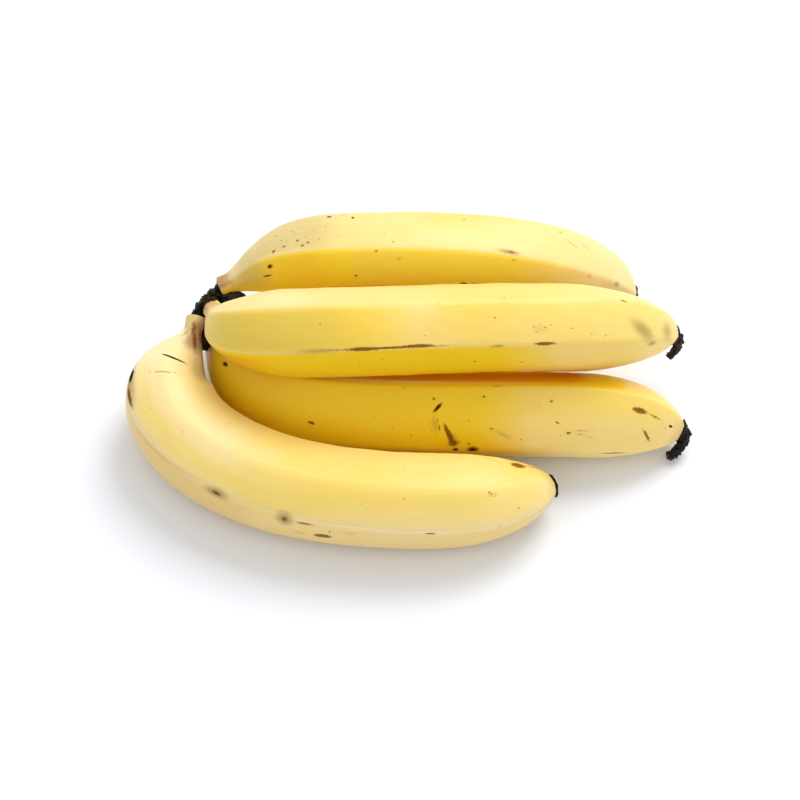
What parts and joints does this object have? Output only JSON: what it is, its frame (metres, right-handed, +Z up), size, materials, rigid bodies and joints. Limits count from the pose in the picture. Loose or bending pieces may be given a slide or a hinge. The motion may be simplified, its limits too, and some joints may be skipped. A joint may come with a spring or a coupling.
{
  "type": "bunch of bananas",
  "caption": "Ripe yellow bananas joined at a dark dried crown, lying with the front finger curved flat before the others, which lie side by side and stacked.",
  "frame": {"origin": "middle of the bunch's footprint on the table, at the table top", "axes": "+X from the crown towards the finger tips, +Y towards the back finger, +Z up"},
  "size_m": [0.2235, 0.1342, 0.0717],
  "materials": {
    "peel": "waxy satin yellow peel with brown specks and bruises",
    "crown": "rough, dried, black-brown",
    "blossom": "rough, dried, dark brown"
  },
  "bodies": {
    "root": {"crown": "crown", "banana_back": "peel", "banana_top": "peel", "banana_under": "peel", "banana_front": "peel", "blossom_end_back": "blossom", "blossom_end_top": "blossom", "blossom_end_under": "blossom", "blossom_end_front": "blossom"}
  },
  "joints": []
}
